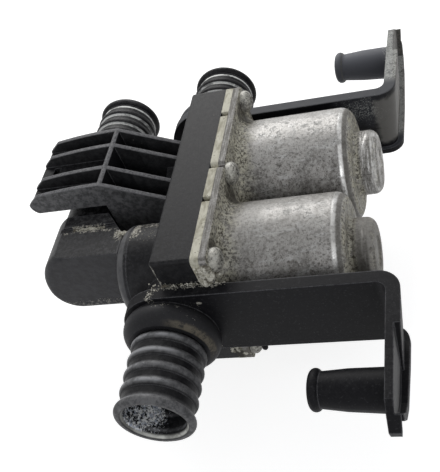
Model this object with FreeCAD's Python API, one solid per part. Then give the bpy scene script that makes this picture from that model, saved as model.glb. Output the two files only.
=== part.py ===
import FreeCAD, Part
import math
import os

os.makedirs("parts", exist_ok=True)
V = FreeCAD.Vector

# Heater control valve with two solenoids side by side, in millimetres.
# X runs along the solenoids toward their closed ends, Y runs from the inlet
# nozzle toward the two outlet nozzles, Z is up. The origin is on the axis
# shared by the inlet and the rear outlet, midway between the solenoids.

# Moulded valve block
block_depth = 11.4
block_length = 68.4
block_height = 45.0
block_round = 0.8
manifold_r = 10.0
beyond = 100.0

# Solenoid positions and the screws that hold them
solenoid_pitch = 34.8
screw_edge = 3.8
screw_out = 31.3
screw_shank_r = 1.5
screw_depth = 8.5
screw_head_r = 3.2
screw_head_h = 2.7
screw_slot = 0.7
screw_slot_length = 3.2
screw_slot_depth = 1.1
screw_hole_gap = 0.5
screw_thread_gap = 0.05

# Yoke plate and can flange
yoke_t = 2.3
flange_t = 2.1
plate_gap = 0.4
plate_round = 1.5
notch_shift = 4.4
notch_width = 1.8
notch_depth = 1.6

# Drawn steel can
can_r = 17.1
can_wall = 1.5
can_length = 32.45
can_round = 3.5
flare_gap = 0.5
boss_r = 9.5
boss_length = 6.5
boss_round = 2.5
boss_dimple_r = 4.6
boss_dimple_depth = 0.6
window_gap = 0.3

# Guide tube, plunger and fixed core
tube_bore_r = 6.0
tube_wall = 0.5
tube_lead = 2.9
tube_flange_r = 9.8
tube_flange_t = 0.8
tube_end_gap = 0.75
yoke_gap = 0.1
slide_gap = 0.08
core_gap = 0.03
core_length = 15.4
core_end_gap = 0.1
plunger_length = 24.0
plunger_stroke = 2.9
plunger_stop_gap = 0.6
spring_bore_r = 3.2
spring_bore_plunger = 9.0
spring_bore_core = 5.5
seal_groove_depth = 1.2
seal_groove_gap = 0.02
seal_mean_r = 8.1
seal_groove_margin = 0.25

# Coil
bobbin_gap = 0.1
bobbin_wall = 1.0
bobbin_side_gap = 0.4
bobbin_flange_t = 1.5
bobbin_end_gap = 0.3
bobbin_corner = 1.2
winding_gap = 0.1
winding_setback = 0.6
tab_start = 19.0
tab_length = 4.0
tab_width = 4.0
tab_offset = 6.4
tab_drop = 20.0
tab_root = 8.0

# Return spring
spring_wire_r = 0.35
spring_outer_r = 2.85
spring_turns = 5.0
spring_end_gap = 0.3

# Valve stem, disc and seat
partition_t = 2.0
seat_hole_r = 4.2
stem_r = 1.5
stem_gap = 0.06
stem_in_plunger = 6.0
stem_head_r = 2.6
stem_head_t = 0.8
disc_r = 5.2
disc_t = 1.0
seal_r = 5.0
seal_t = 1.0
seat_gap = 0.1

# Inside of the block
gallery_height = 16.0
gallery_end = 27.0
gallery_depth = 7.5
inlet_bore_wall = 2.7
outlet_bore_wall = 5.2
outlet_passage_height = 11.0
outlet_passage_depth = 5.5
rear_chamber_r = 6.3
rear_boss_r = 8.8
rear_boss_wall = 2.6

# Hose nozzles
nozzle_r = 9.5
nozzle_bore_r = 8.1
nozzle_mouth_r = 8.9
nozzle_lead_in = 1.3
ring_r = 10.3
ring_half = 1.3
ring_pitch = 4.4
ring_setback = 6.6
bead_r = 10.65
bead_centre = 1.25
bead_half = 1.25
inlet_length = 32.5
inlet_rings = 4
outlet_length = 29.6
outlet_rings = 3
side_outlet_tip = 55.1
side_outlet_rings = 4
side_outlet_x = -35.3
side_outlet_root = 26.6

# Housing of the front valve, and the outlet elbow welded to it
housing_r = 14.0
housing_bore_r = 11.5
weld_x = -13.0
shoulder_length = 4.0
shoulder_r = 9.8
shoulder_wall = 2.0
spigot_gap = 0.1
spigot_wall = 1.4
spigot_length = 3.0
elbow_wall = 2.0
elbow_top = 11.9
elbow_bottom = -12.3
elbow_left = -46.9
elbow_crest = -3.5
elbow_edge_x = -37.8
elbow_near_out = 2.3
elbow_far_in = 14.4
elbow_round = 2.0
elbow_low_round = 8.8
elbow_corner_x = 7.5
elbow_corner_y = 9.6
elbow_tube_r = 9.6
elbow_tube_wall = 1.7
elbow_groove_in = 7.9
elbow_groove_width = 2.0
elbow_groove_depth = 0.7
passage_height = 12.0
passage_reach = 6.5

# Ribbed foot over the elbow
rib_t = 1.4
rib_first = 0.5
rib_steps = (0.0, 7.4, 17.3, 24.2)
foot_gap = 0.5
foot_left = -50.0
foot_left_z = 16.3
foot_low_x = -48.4
foot_bottom = 12.4
foot_tip_x = -46.6
foot_tip_z = 19.0
foot_rise_x = -35.8
foot_rise_z = 20.25
foot_peak_x = -24.3
foot_peak_z = 20.7
foot_end_z = 8.9
foot_floor = 15.6
foot_root_z = -6.0
foot_pocket_z = -3.2
foot_slot_x = -46.4
foot_slot_width = 2.2
foot_slot_near = 9.2
foot_slot_length = 7.0

# Rubber mounts
strap_gap = 1.0
strap_t = 3.4
strap_height = 24.1
strap_shift = 1.85
strap_lean = 1.6
strap_bend_r = 5.5
strap_inner_bend_r = 2.6
end_plate_t = 3.5
end_plate_lean = 2.5
end_plate_front_x = 58.75
end_plate_rear_x = 57.0
end_plate_splay_front = 0.0
end_plate_splay_rear = 1.5
rim_height = 1.9
rim_side_gap = 0.35
rim_out = 2.75
rim_shift = 0.8
recess_wall = 2.0
recess_foot_wall = 0.7
recess_start = 10.2
recess_nose_wall = 2.4
nose_front = 13.7
nose_rear = 10.2
eye_r = 13.9
eye_gap = 0.1
eye_length = 6.6
eye_bulge_r = 13.2
eye_bulge_at = 4.1
eye_base_r = 12.2
eye_lip_r = 11.0

# Lower outline of the end plate, from the peg's axis and the strap's bottom
outline_out = (-11.7, -4.3, 1.3, 5.7, 8.2)
outline_rise = (1.4, 3.6, 5.3, 8.6, 12.7)

# Nose of the end plate, from the nose tip and the strap's bottom
nose_back = (0.8, 0.0, 2.2, 4.6)
nose_rise = (14.6, 17.6, 21.5, 24.1)

# Push-in pegs
peg_out_front = 22.1
peg_out_rear = 28.2
peg_turn_front = 2.3
peg_turn_rear = -5.0
peg_length = 19.2
peg_bead_r = 5.15
peg_bead_length = 2.7
peg_neck_r = 4.4
peg_mid_r = 5.0
peg_mid_at = 9.0
peg_root_r = 5.3
peg_flare = 1.4

# Electrical socket under the solenoids
socket_start = 18.6
socket_length = 20.4
socket_half_width = 14.2
socket_base_z = -21.4
socket_gap = 0.1
shroud_x0 = 21.0
shroud_x1 = 38.0
shroud_half_width = 10.0
shroud_wall = 1.6
shroud_bottom = -31.0
shroud_floor = -22.8
pin_size = 0.8
pin_pitch = 5.0
pin_x = 25.0
pin_length = 8.4
pin_gap = 0.04

# Places that follow from the sizes above
block_end = block_length / 2.0
half_height = block_height / 2.0
axis_y = solenoid_pitch / 2.0
yoke_x = block_depth
flange_x = yoke_x + yoke_t
can_x = flange_x + flange_t
can_end = can_x + can_length
boss_end = can_end + boss_length
strap_start = block_end + strap_gap
inlet_tip = block_end + inlet_length
outlet_tip = block_end + outlet_length
inlet_bore_end = inlet_bore_wall - block_end
outlet_bore_start = block_end - outlet_bore_wall
screw_rise = half_height - screw_edge
screw_reach = math.hypot(screw_out - axis_y, screw_rise)
can_flare = screw_reach - screw_head_r - flare_gap - can_r
plate_half = (solenoid_pitch - plate_gap) / 2.0
elbow_near = -axis_y - elbow_near_out
elbow_far = -axis_y + elbow_far_in
elbow_groove_y = -axis_y + elbow_groove_in
tube_r = tube_bore_r + tube_wall
tube_start = block_depth - tube_lead
tube_end = boss_end - can_wall - tube_end_gap
core_end = tube_end - tube_wall - core_end_gap
core_start = core_end - core_length
plunger_end = core_start - plunger_stop_gap - plunger_stroke
plunger_start = plunger_end - plunger_length
seat_x = -partition_t / 2.0
seal_face = seat_x - plunger_stroke - seat_gap
bobbin_flange_r = can_r - can_wall - bobbin_side_gap
winding_r = bobbin_flange_r - winding_setback
bobbin_start = flange_x + bobbin_end_gap
bobbin_end = can_end - can_wall - bobbin_end_gap
bobbin_r = tube_r + bobbin_gap
gallery_x = partition_t / 2.0


def save(shape, name):
    if len(shape.Solids) == 1:
        shape = shape.Solids[0]
    shape.exportStep("parts/" + name + ".step")


def box(x0, x1, y0, y1, z0, z1):
    return Part.makeBox(x1 - x0, y1 - y0, z1 - z0, V(x0, y0, z0))


def rod_x(x0, x1, y, z, r):
    return Part.makeCylinder(r, x1 - x0, V(x0, y, z), V(1, 0, 0))


def rod_y(y0, y1, x, z, r):
    return Part.makeCylinder(r, y1 - y0, V(x, y0, z), V(0, 1, 0))


# An outline is a list of points. A pair of points in place of one makes an
# arc through the first to the second.
def outline(points):
    edges = []
    here = points[0]
    for step in points[1:]:
        if isinstance(step[0], tuple):
            through, to = step
            arc = Part.Arc(V(*here, 0), V(*through, 0), V(*to, 0))
            edges.append(arc.toShape())
        else:
            to = step
            edges.append(Part.makeLine(V(*here, 0), V(*to, 0)))
        here = to
    if math.dist(here, points[0]) > 1e-6:
        edges.append(Part.makeLine(V(*here, 0), V(*points[0], 0)))
    return Part.Face(Part.Wire(edges))


def turned_x(points, y, z):
    solid = outline(points).revolve(V(0, 0, 0), V(1, 0, 0), 360)
    solid.translate(V(0, y, z))
    return solid


# Profile points are (distance along Y, radius), turned about a line along Y
def turned_y(points, x, z, side):
    solid = outline(points).revolve(V(0, 0, 0), V(1, 0, 0), 360)
    solid.rotate(V(0, 0, 0), V(0, 0, 1), 90 * side)
    solid.translate(V(x, 0, z))
    return solid


# Profile points are (x, z), drawn upright and pushed from y0 to y1
def pushed_y(points, y0, y1):
    face = outline(points)
    face.rotate(V(0, 0, 0), V(1, 0, 0), 90)
    face.translate(V(0, y0, 0))
    return face.extrude(V(0, y1 - y0, 0))


def quarter(centre, r, start, end):
    angle = math.radians((start + end) / 2.0)
    stop = math.radians(end)
    middle = (centre[0] + r * math.cos(angle), centre[1] + r * math.sin(angle))
    last = (centre[0] + r * math.cos(stop), centre[1] + r * math.sin(stop))
    return (middle, last)


# Hose nozzle with rounded rings and an end bead
def nozzle(x, side, root, tip, rings):
    points = [(root, 0), (root, nozzle_r)]
    for i in reversed(range(rings)):
        crest = tip - ring_setback - i * ring_pitch
        points.append((crest - ring_half, nozzle_r))
        points.append(((crest, ring_r), (crest + ring_half, nozzle_r)))
    bead = tip - bead_centre
    points.append((bead - bead_half, nozzle_r))
    points.append(((bead, bead_r), (tip, nozzle_r + 0.2)))
    points.append((tip, 0))
    return turned_y(points, x, 0, side)


def nozzle_bore(x, side, start, tip, r):
    points = [(start, 0), (start, r), (tip - nozzle_lead_in, r)]
    points += [(tip, nozzle_mouth_r), (tip + 1, nozzle_mouth_r), (tip + 1, 0)]
    return turned_y(points, x, 0, side)


# Screw axes: one pair at each end and one pair between the flanges
screw_places = []
for screw_y in (-screw_out, 0.0, screw_out):
    for screw_z in (-screw_rise, screw_rise):
        screw_places.append((screw_y, screw_z))

# Valve body: block, manifold tube, front valve housing, two nozzles and foot
block = box(0, block_depth, -block_end, block_end, -half_height, half_height)
rounded = []
for edge in block.Edges:
    middle = edge.CenterOfMass
    if middle.x < block_depth - 0.01:
        rounded.append(edge)
body = block.makeFillet(block_round, rounded)

foot_near = rib_first - rib_t / 2.0
foot_far = rib_first + rib_steps[-1] + rib_t / 2.0
foot_inner_x = side_outlet_x + elbow_tube_r + foot_gap
foot_profile = [
    (0.0, foot_root_z),
    (0.0, foot_end_z),
    (foot_peak_x, foot_peak_z),
    ((foot_rise_x, foot_rise_z), (foot_tip_x, foot_tip_z)),
    (foot_left, foot_left_z),
    ((foot_left + 0.1, foot_bottom + 1.8), (foot_low_x, foot_bottom)),
    (foot_inner_x, foot_bottom),
    (foot_inner_x, foot_root_z),
]
foot = pushed_y(foot_profile, foot_near, foot_far)
for i in range(len(rib_steps) - 1):
    bay_near = rib_first + rib_steps[i] + rib_t / 2.0
    bay_far = rib_first + rib_steps[i + 1] - rib_t / 2.0
    left_x = foot_peak_x - rib_t / 2.0
    right_x = foot_peak_x + rib_t / 2.0
    top_z = foot_peak_z + 5
    left_bay = box(foot_left - 5, left_x, bay_near, bay_far, foot_floor, top_z)
    right_bay = box(right_x, 1.0, bay_near, bay_far, foot_pocket_z, top_z)
    foot = foot.cut(left_bay).cut(right_bay)
slot_end = foot_slot_near + foot_slot_length
slot_x1 = foot_slot_x + foot_slot_width
foot = foot.cut(box(foot_slot_x, slot_x1, foot_slot_near, slot_end, 0, foot_peak_z))

rear_chamber_x = seal_face - seal_t - disc_t - stem_head_t - 0.6
manifold = rod_y(-block_end, block_end, 0, 0, manifold_r)
housing = rod_x(weld_x, 0, -axis_y, 0, housing_r)
rear_boss = rod_x(rear_chamber_x - rear_boss_wall, 0, axis_y, 0, rear_boss_r)
inlet = nozzle(0, -1, block_end - 1, inlet_tip, inlet_rings)
outlet = nozzle(0, 1, block_end - 1, outlet_tip, outlet_rings)
for piece in (manifold, housing, rear_boss, foot, inlet, outlet):
    body = body.fuse(piece)
body = body.removeSplitter()

# Water ways inside the body
gallery_top = gallery_height / 2.0
gallery_x1 = gallery_x + gallery_depth
gallery = box(gallery_x, gallery_x1, inlet_bore_end, gallery_end, -gallery_top, gallery_top)
body = body.cut(nozzle_bore(0, -1, -inlet_bore_end, inlet_tip, nozzle_bore_r))
body = body.cut(nozzle_bore(0, 1, outlet_bore_start, outlet_tip, nozzle_bore_r))
body = body.cut(gallery)
body = body.cut(rod_x(weld_x - 1, seat_x, -axis_y, 0, housing_bore_r))
body = body.cut(rod_x(rear_chamber_x, seat_x, axis_y, 0, rear_chamber_r))
passage_x = seat_x - outlet_passage_depth
passage_top = outlet_passage_height / 2.0
body = body.cut(box(passage_x, seat_x, axis_y, outlet_bore_start, -passage_top, passage_top))

# Seats for the guide tubes and threads for the screws
tube_hole_r = tube_r + yoke_gap
flange_seat_x = block_depth - tube_flange_t
groove_x = flange_seat_x - seal_groove_depth
seal_section_r = seal_groove_depth / 2.0 - seal_groove_gap
groove_half = seal_section_r + seal_groove_margin
for y in (-axis_y, axis_y):
    body = body.cut(rod_x(seat_x - 1, gallery_x + 1, y, 0, seat_hole_r))
    body = body.cut(rod_x(gallery_x1 - 1, block_depth + 1, y, 0, tube_hole_r))
    seat_r = tube_flange_r + yoke_gap
    body = body.cut(rod_x(flange_seat_x, block_depth + 1, y, 0, seat_r))
    groove = rod_x(groove_x, flange_seat_x, y, 0, seal_mean_r + groove_half)
    groove = groove.cut(rod_x(groove_x, flange_seat_x, y, 0, seal_mean_r - groove_half))
    body = body.cut(groove)
for y, z in screw_places:
    thread_r = screw_shank_r + screw_thread_gap
    thread_x = block_depth - screw_depth - 0.3
    body = body.cut(rod_x(thread_x, block_depth + 1, y, z, thread_r))
save(body, "valve_body")

# Outlet elbow: a hollow moulding welded to the front housing, open to the
# side outlet nozzle
shoulder_x = weld_x - shoulder_length
side_rise = elbow_top - elbow_crest
side_run = elbow_edge_x - elbow_left
side_r = (side_run ** 2 + side_rise ** 2) / (2.0 * side_run)
side_centre = (elbow_left + side_r, elbow_crest)
side_start = math.degrees(math.asin(side_rise / side_r))
low_centre = (elbow_left + elbow_low_round, elbow_crest)
low_z = elbow_bottom
section = [
    (shoulder_x, elbow_top),
    (elbow_edge_x, elbow_top),
    quarter(side_centre, side_r, 180.0 - side_start, 180.0),
    quarter(low_centre, elbow_crest - low_z, 180.0, 270.0),
    (shoulder_x, low_z),
]


def elbow_block(inset):
    face = outline(section)
    if inset > 0:
        face = face.makeOffset2D(-inset)
    face.rotate(V(0, 0, 0), V(1, 0, 0), 90)
    face.translate(V(0, elbow_near + inset, 0))
    solid = face.extrude(V(0, elbow_far - elbow_near - 2 * inset, 0))
    x1 = shoulder_x + 5
    far_y = elbow_far + 5
    points = [
        V(shoulder_x - elbow_corner_x - 4 * elbow_corner_x / elbow_corner_y, far_y, -beyond),
        V(x1, far_y, -beyond),
        V(x1, elbow_far - elbow_corner_y - 5 * elbow_corner_y / elbow_corner_x, -beyond),
    ]
    corner = Part.Face(Part.makePolygon(points + points[:1])).extrude(V(0, 0, 2 * beyond))
    corner.translate(V(-inset, -inset, 0))
    return solid.cut(corner)


elbow = elbow_block(0)
near_edges = []
for edge in elbow.Edges:
    middle = edge.CenterOfMass
    on_near = abs(edge.BoundBox.YMin - elbow_near) < 0.01 and abs(edge.BoundBox.YMax - elbow_near) < 0.01
    if on_near and middle.z < elbow_top - 0.1 and middle.x < shoulder_x - 0.1:
        near_edges.append(edge)
elbow = elbow.makeFillet(elbow_round, near_edges)
shoulder = [
    (weld_x, 0),
    (weld_x, housing_r),
    (weld_x - 0.8, housing_r),
    ((shoulder_x + 0.5, shoulder_r + 2.6), (shoulder_x, shoulder_r)),
    (shoulder_x - 1, shoulder_r),
    (shoulder_x - 1, 0),
]
rim = turned_x(shoulder, -axis_y, 0)
rim = rim.cut(box(shoulder_x - 2, shoulder_x, -beyond, elbow_near + 0.5, -beyond, beyond))
elbow_tube = rod_y(elbow_far - elbow_wall, side_outlet_root + 1, side_outlet_x, 0, elbow_tube_r)
side_outlet = nozzle(side_outlet_x, 1, side_outlet_root, side_outlet_tip, side_outlet_rings)
elbow = elbow.fuse(rim).fuse(elbow_tube).fuse(side_outlet).removeSplitter()
groove_y1 = elbow_groove_y + elbow_groove_width
groove_z = elbow_top - elbow_groove_depth
elbow = elbow.cut(box(elbow_left, shoulder_x, elbow_groove_y, groove_y1, groove_z, elbow_top + 1))
tube_bore = elbow_tube_r - elbow_tube_wall
cavity = elbow_block(elbow_wall)
cavity = cavity.fuse(nozzle_bore(side_outlet_x, 1, elbow_far - 4, side_outlet_tip, tube_bore))
elbow = elbow.cut(cavity)
passage_side = passage_height / 2.0
passage_y = elbow_near + elbow_wall
reach_y = -axis_y + passage_reach
neck_x = shoulder_x + shoulder_wall
neck = box(shoulder_x - elbow_wall - 1, weld_x, passage_y, reach_y, -passage_side, passage_side)
elbow = elbow.cut(neck)
elbow = elbow.cut(rod_x(neck_x, weld_x + 1, -axis_y, 0, housing_bore_r))
spigot_r = housing_bore_r - spigot_gap
spigot = rod_x(neck_x, weld_x + spigot_length, -axis_y, 0, spigot_r)
spigot = spigot.cut(rod_x(neck_x - 1, weld_x + spigot_length + 1, -axis_y, 0, spigot_r - spigot_wall))
collar = rod_x(neck_x, weld_x, -axis_y, 0, housing_bore_r + 0.5)
collar = collar.cut(rod_x(neck_x - 1, weld_x + 1, -axis_y, 0, spigot_r - spigot_wall))
elbow = elbow.fuse(spigot).fuse(collar).removeSplitter()
save(elbow, "outlet_elbow")


# Flat plate outline shared by the yoke plates and the can flanges
def flange_plate(x0, x1, y, hole_r):
    z = half_height
    plate = box(x0, x1, y - plate_half, y + plate_half, -z, z)
    corners = []
    for edge in plate.Edges:
        if abs(edge.BoundBox.XLength - (x1 - x0)) < 0.01:
            corners.append(edge)
    plate = plate.makeFillet(plate_round, corners)
    plate = plate.cut(rod_x(x0 - 1, x1 + 1, y, 0, hole_r))
    for screw_y, screw_z in screw_places:
        if abs(screw_y - y) < plate_half + screw_head_r:
            hole = rod_x(x0 - 1, x1 + 1, screw_y, screw_z, screw_shank_r + screw_hole_gap)
            plate = plate.cut(hole)
    return plate


def solenoid(y, inner, name):
    # inner is +1 or -1: the side on which the other solenoid lies
    yoke = flange_plate(yoke_x, flange_x, y, tube_hole_r)
    notch_y = y + notch_shift - notch_width / 2.0
    notch_z = half_height - notch_depth
    yoke = yoke.cut(box(yoke_x - 1, flange_x + 1, notch_y, notch_y + notch_width, notch_z, half_height + 1))
    save(yoke, "yoke_plate_" + name)

    # Can: flange, flared root, drawn wall, rounded end and boss
    inner_r = can_r - can_wall
    inner_round = can_round - can_wall
    boss_inner_r = boss_r - can_wall
    inner_end = can_end - can_wall
    flare_centre = (can_x + can_flare, can_r + can_flare)
    round_centre = (can_end - can_round, can_r - can_round)
    bore_centre = (inner_end - inner_round, inner_r - inner_round)
    tip_centre = (boss_end - boss_round, boss_r - boss_round)
    can = turned_x([
        (flange_x, inner_r),
        (flange_x, can_r + can_flare),
        (can_x, can_r + can_flare),
        quarter(flare_centre, can_flare, 180.0, 270.0),
        (round_centre[0], can_r),
        quarter(round_centre, can_round, 90.0, 0.0),
        (can_end, boss_r + 0.6),
        ((can_end + 0.18, boss_r + 0.18), (can_end + 0.6, boss_r)),
        (tip_centre[0], boss_r),
        quarter(tip_centre, boss_round, 90.0, 0.0),
        (boss_end, boss_dimple_r),
        (boss_end - boss_dimple_depth, boss_dimple_r - boss_dimple_depth),
        (boss_end - boss_dimple_depth, 0),
        (boss_end - can_wall, 0),
        (boss_end - can_wall, boss_inner_r),
        (inner_end, boss_inner_r),
        (inner_end, inner_r - inner_round),
        quarter(bore_centre, inner_round, 0.0, 90.0),
    ], y, 0)
    can = can.fuse(flange_plate(flange_x, can_x, y, inner_r)).removeSplitter()
    # The flared root is trimmed to the flange edge beside the other can
    can = can.common(box(0, boss_end + 1, y - plate_half, y + plate_half, -beyond, beyond))
    tab_y = y + inner * tab_offset
    window_half = tab_width / 2.0 + window_gap
    window_x1 = tab_start + tab_length + window_gap
    window = box(
        tab_start - window_gap, window_x1,
        tab_y - window_half, tab_y + window_half,
        -beyond, -tab_root,
    )
    can = can.cut(window)
    save(can, "solenoid_can_" + name)

    # Bobbin with a terminal tab that leaves through the window in the can
    hub_r = bobbin_r + bobbin_wall
    flange_in = bobbin_start + bobbin_flange_t
    flange_out = bobbin_end - bobbin_flange_t
    bobbin = turned_x([
        (bobbin_start, bobbin_r),
        (bobbin_start, bobbin_flange_r),
        (flange_in, bobbin_flange_r),
        (flange_in, hub_r),
        (flange_out, hub_r),
        (flange_out, bobbin_flange_r),
        (bobbin_end - bobbin_corner, bobbin_flange_r),
        (bobbin_end, bobbin_flange_r - bobbin_corner),
        (bobbin_end, bobbin_r),
    ], y, 0)
    tab_end = tab_start + tab_length
    half = tab_width / 2.0
    tab = box(bobbin_start, tab_end, tab_y - half, tab_y + half, -tab_drop, -tab_root)
    lead = tab.common(rod_x(bobbin_start, tab_end, y, 0, bobbin_flange_r + 0.2))
    blade = tab.common(box(tab_start, tab_end, -beyond, beyond, -beyond, 0))
    tab = lead.fuse(blade).cut(rod_x(bobbin_start, tab_end + 1, y, 0, winding_r + winding_gap))
    bobbin = bobbin.fuse(tab).removeSplitter()
    save(bobbin, "coil_bobbin_" + name)

    wound = rod_x(flange_in + winding_gap, flange_out - winding_gap, y, 0, winding_r)
    wound = wound.cut(rod_x(0, bobbin_end, y, 0, hub_r + winding_gap))
    save(wound, "coil_winding_" + name)

    # Guide tube with the flange that is clamped between block and yoke
    tube = turned_x([
        (tube_start, tube_bore_r),
        (tube_start, tube_r),
        (flange_seat_x, tube_r),
        (flange_seat_x, tube_flange_r),
        (yoke_x, tube_flange_r),
        (yoke_x, tube_r),
        (tube_end, tube_r),
        (tube_end, 0),
        (tube_end - tube_wall, 0),
        (tube_end - tube_wall, tube_bore_r),
    ], y, 0)
    save(tube, "guide_tube_" + name)
    ring_x = (groove_x + flange_seat_x) / 2.0
    ring = Part.makeTorus(seal_mean_r, seal_section_r, V(ring_x, y, 0), V(1, 0, 0))
    save(ring, "tube_seal_" + name)

    core = rod_x(core_start, core_end, y, 0, tube_bore_r - core_gap)
    core = core.cut(rod_x(core_start - 1, core_start + spring_bore_core, y, 0, spring_bore_r))
    save(core, "fixed_core_" + name)

    # Moving pieces, drawn with the valve open and the coil off
    plunger = rod_x(plunger_start, plunger_end, y, 0, tube_bore_r - slide_gap)
    bore_x = plunger_end - spring_bore_plunger
    plunger = plunger.cut(rod_x(bore_x, plunger_end + 1, y, 0, spring_bore_r))
    stem_end = plunger_start + stem_in_plunger
    hole_r = stem_r + stem_gap
    plunger = plunger.cut(rod_x(plunger_start - 1, stem_end + stem_gap, y, 0, hole_r))
    save(plunger, "plunger_" + name)
    disc_x = seal_face - seal_t
    head_x = disc_x - disc_t
    stem = rod_x(head_x, stem_end, y, 0, stem_r)
    stem = stem.fuse(rod_x(head_x - stem_head_t, head_x, y, 0, stem_head_r))
    save(stem.removeSplitter(), "valve_stem_" + name)
    disc = rod_x(head_x, disc_x, y, 0, disc_r)
    disc = disc.cut(rod_x(head_x - 1, disc_x + 1, y, 0, hole_r))
    save(disc, "valve_disc_" + name)
    washer = rod_x(disc_x, seal_face, y, 0, seal_r)
    washer = washer.cut(rod_x(disc_x - 1, seal_face + 1, y, 0, hole_r))
    save(washer, "valve_seal_" + name)

    # Return spring between the blind bores of plunger and core
    coil_x0 = bore_x + spring_end_gap + spring_wire_r
    coil_x1 = core_start + spring_bore_core - spring_end_gap - spring_wire_r
    mean_r = spring_outer_r - spring_wire_r
    pitch = (coil_x1 - coil_x0) / spring_turns
    helix = Part.makeHelix(pitch, coil_x1 - coil_x0, mean_r)
    wire_circle = Part.Wire(Part.makeCircle(spring_wire_r, V(mean_r, 0, 0), V(0, 1, 0)))
    coil = Part.Wire(helix).makePipeShell([wire_circle], True, True)
    coil.rotate(V(0, 0, 0), V(0, 1, 0), 90)
    coil.translate(V(coil_x0, y, 0))
    save(coil, "return_spring_" + name)


solenoid(-axis_y, 1, "front")
solenoid(axis_y, -1, "rear")

# Six pan head screws, the middle pair shared by both flanges
screws = []
for y, z in screw_places:
    head_x = can_x + screw_head_h
    dome = screw_head_r * 0.45
    screw = turned_x([
        (block_depth - screw_depth, 0),
        (block_depth - screw_depth, screw_shank_r),
        (can_x, screw_shank_r),
        (can_x, screw_head_r),
        (can_x + screw_head_h / 2.0, screw_head_r),
        ((head_x - screw_head_h * 0.14, screw_head_r * 0.78), (head_x, dome)),
        (head_x, 0),
    ], y, z)
    half = screw_slot / 2.0
    long_half = screw_slot_length / 2.0
    slot_x = head_x - screw_slot_depth
    screw = screw.cut(box(slot_x, head_x + 1, y - half, y + half, z - long_half, z + long_half))
    screw = screw.cut(box(slot_x, head_x + 1, y - long_half, y + long_half, z - half, z + half))
    screws.append(screw)
save(Part.makeCompound(screws), "flange_screws")


# Rubber mount: an eye on the nozzle root, an arm along the solenoid, a bend
# and an end plate with a push-in peg. The face toward the solenoids leans,
# and a rim runs along the lower edge of arm and end plate up to the nose.
def rubber_mount(side, plate_x, splay, peg_out, peg_turn, nose_out, name):
    centre_z = -side * strap_shift
    top = centre_z + strap_height / 2.0
    bottom = centre_z - strap_height / 2.0
    outer = strap_start + strap_t
    low = outer + peg_out
    nose = low + nose_out
    bend_y = strap_start + strap_bend_r

    # Plan of arm and end plate, pulled in on the solenoids' side
    def plan(arm_in, plate_in, z):
        near = strap_start + arm_in
        x1 = plate_x + end_plate_t - plate_in
        bend = strap_bend_r - (arm_in + plate_in) / 2.0
        inner = strap_inner_bend_r
        face = outline([
            (0, near),
            (x1 - bend, near),
            quarter((x1 - bend, near + bend), bend, -90.0, 0.0),
            (x1 + splay, nose),
            (plate_x + splay, nose),
            (plate_x, outer + inner),
            quarter((plate_x - inner, outer + inner), inner, 0.0, -90.0),
            (0, outer),
        ])
        face.translate(V(0, 0, z))
        return face

    # Outline seen along X, as (distance outward, height)
    lower = [(strap_start - 1, bottom), (bend_y, bottom)]
    for out, rise in zip(outline_out, outline_rise):
        lower.append((low + out, bottom + rise))
    upper = []
    for back, rise in zip(nose_back, nose_rise):
        upper.append((nose - back, bottom + rise))
    upper.append((strap_start - 1, top))

    def along_x(points, x0, x1):
        corners = [V(x0, y, z) for y, z in points]
        return Part.Face(Part.makePolygon(corners + corners[:1])).extrude(V(x1 - x0, 0, 0))

    strap = Part.makeLoft([
        plan(0, 0, top).OuterWire,
        plan(strap_lean, end_plate_lean, bottom).OuterWire,
    ], True, True)
    strap = strap.common(along_x(lower + upper, -1, beyond))

    # Recess in the end plate's outer face, open at the top
    recess_near = low - recess_start
    recess_far = nose - recess_nose_wall

    def splay_at(y):
        return splay * (y - bend_y) / (nose - bend_y)

    def recess_plan(wall, z):
        face = outline([
            (plate_x + wall + splay_at(recess_near), recess_near),
            (beyond, recess_near),
            (beyond, recess_far),
            (plate_x + wall + splay_at(recess_far), recess_far),
        ])
        face.translate(V(0, 0, z))
        return face.OuterWire

    recess = Part.makeLoft([
        recess_plan(recess_wall, top + 1),
        recess_plan(recess_foot_wall, bottom + rim_height),
    ], True, True)
    strap = strap.cut(recess)

    rim_upper = []
    for y, z in reversed(lower):
        shift = rim_shift if y > bend_y else 0
        rim_upper.append((y - shift, z + rim_height))
    rim = plan(rim_side_gap, end_plate_t - rim_out, bottom).extrude(V(0, 0, strap_height))
    rim = rim.common(along_x(lower + rim_upper, -1, beyond))
    strap = strap.fuse(rim)

    # Round eye end, its bulging hub and the hole for the nozzle root
    eye_end = outer + eye_length
    hub = turned_x([
        (strap_start, 0),
        (strap_start, eye_r),
        (outer, eye_r),
        (outer, eye_base_r),
        ((outer + eye_bulge_at, eye_bulge_r), (eye_end, eye_lip_r)),
        (eye_end, 0),
    ], 0, 0)
    hub.rotate(V(0, 0, 0), V(0, 0, 1), 90)
    strap = strap.fuse(hub)
    strap = strap.cut(rod_y(strap_start - 1, eye_end + 1, 0, 0, nozzle_r + eye_gap))

    # Push-in peg on the inner face of the end plate
    root_x = plate_x + splay_at(low)
    tip_x = root_x - peg_length
    bead_end = tip_x + peg_bead_length
    peg = turned_x([
        (tip_x, 0),
        (tip_x, peg_neck_r - 0.4),
        ((tip_x + peg_bead_length * 0.45, peg_bead_r), (bead_end, peg_neck_r)),
        (tip_x + peg_mid_at, peg_mid_r),
        (root_x - peg_flare, peg_root_r),
        ((root_x - 0.3 * peg_flare, peg_root_r + 0.3 * peg_flare),
         (root_x, peg_root_r + peg_flare)),
        (root_x + 0.5, peg_root_r + peg_flare),
        (root_x + 0.5, 0),
    ], low, centre_z)
    peg.rotate(V(root_x, low, centre_z), V(0, 0, 1), peg_turn)
    strap = strap.fuse(peg)
    if side < 0:
        strap = strap.mirror(V(0, 0, 0), V(0, 1, 0))
    save(strap, "rubber_mount_" + name)


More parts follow.
